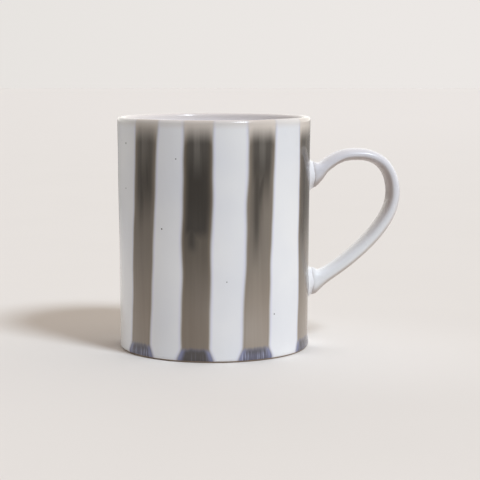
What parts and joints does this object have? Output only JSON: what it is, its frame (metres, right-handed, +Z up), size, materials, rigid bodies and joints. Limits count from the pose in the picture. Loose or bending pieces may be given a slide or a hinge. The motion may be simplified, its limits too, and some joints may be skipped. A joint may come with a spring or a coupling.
{
  "type": "ceramic mug",
  "caption": "Straight-sided ceramic mug with a looped strap handle, a rounded lip and a flat foot, glazed with brushed vertical stripes.",
  "frame": {"origin": "centre of the flat foot, on the cup's axis, at the level of the table it stands on", "axes": "+Z up along the cup's axis, towards the mouth; +X from the axis towards the handle"},
  "size_m": [0.1215, 0.082, 0.098],
  "materials": {
    "cup_glaze": "glossy bluish white glaze with nine brushed taupe grey stripes that pool blue at the foot, thin beige glaze over the lip, bare buff clay under the foot",
    "handle_glaze": "glossy bluish white glaze, a little thinner and warmer along the strap's edges",
    "slip_glaze": "glossy white glaze over joining slip, slightly uneven"
  },
  "bodies": {
    "root": {"cup_body": "cup_glaze", "handle_strap": "handle_glaze", "upper_slip_collar": "slip_glaze", "lower_slip_collar": "slip_glaze"}
  },
  "joints": []
}
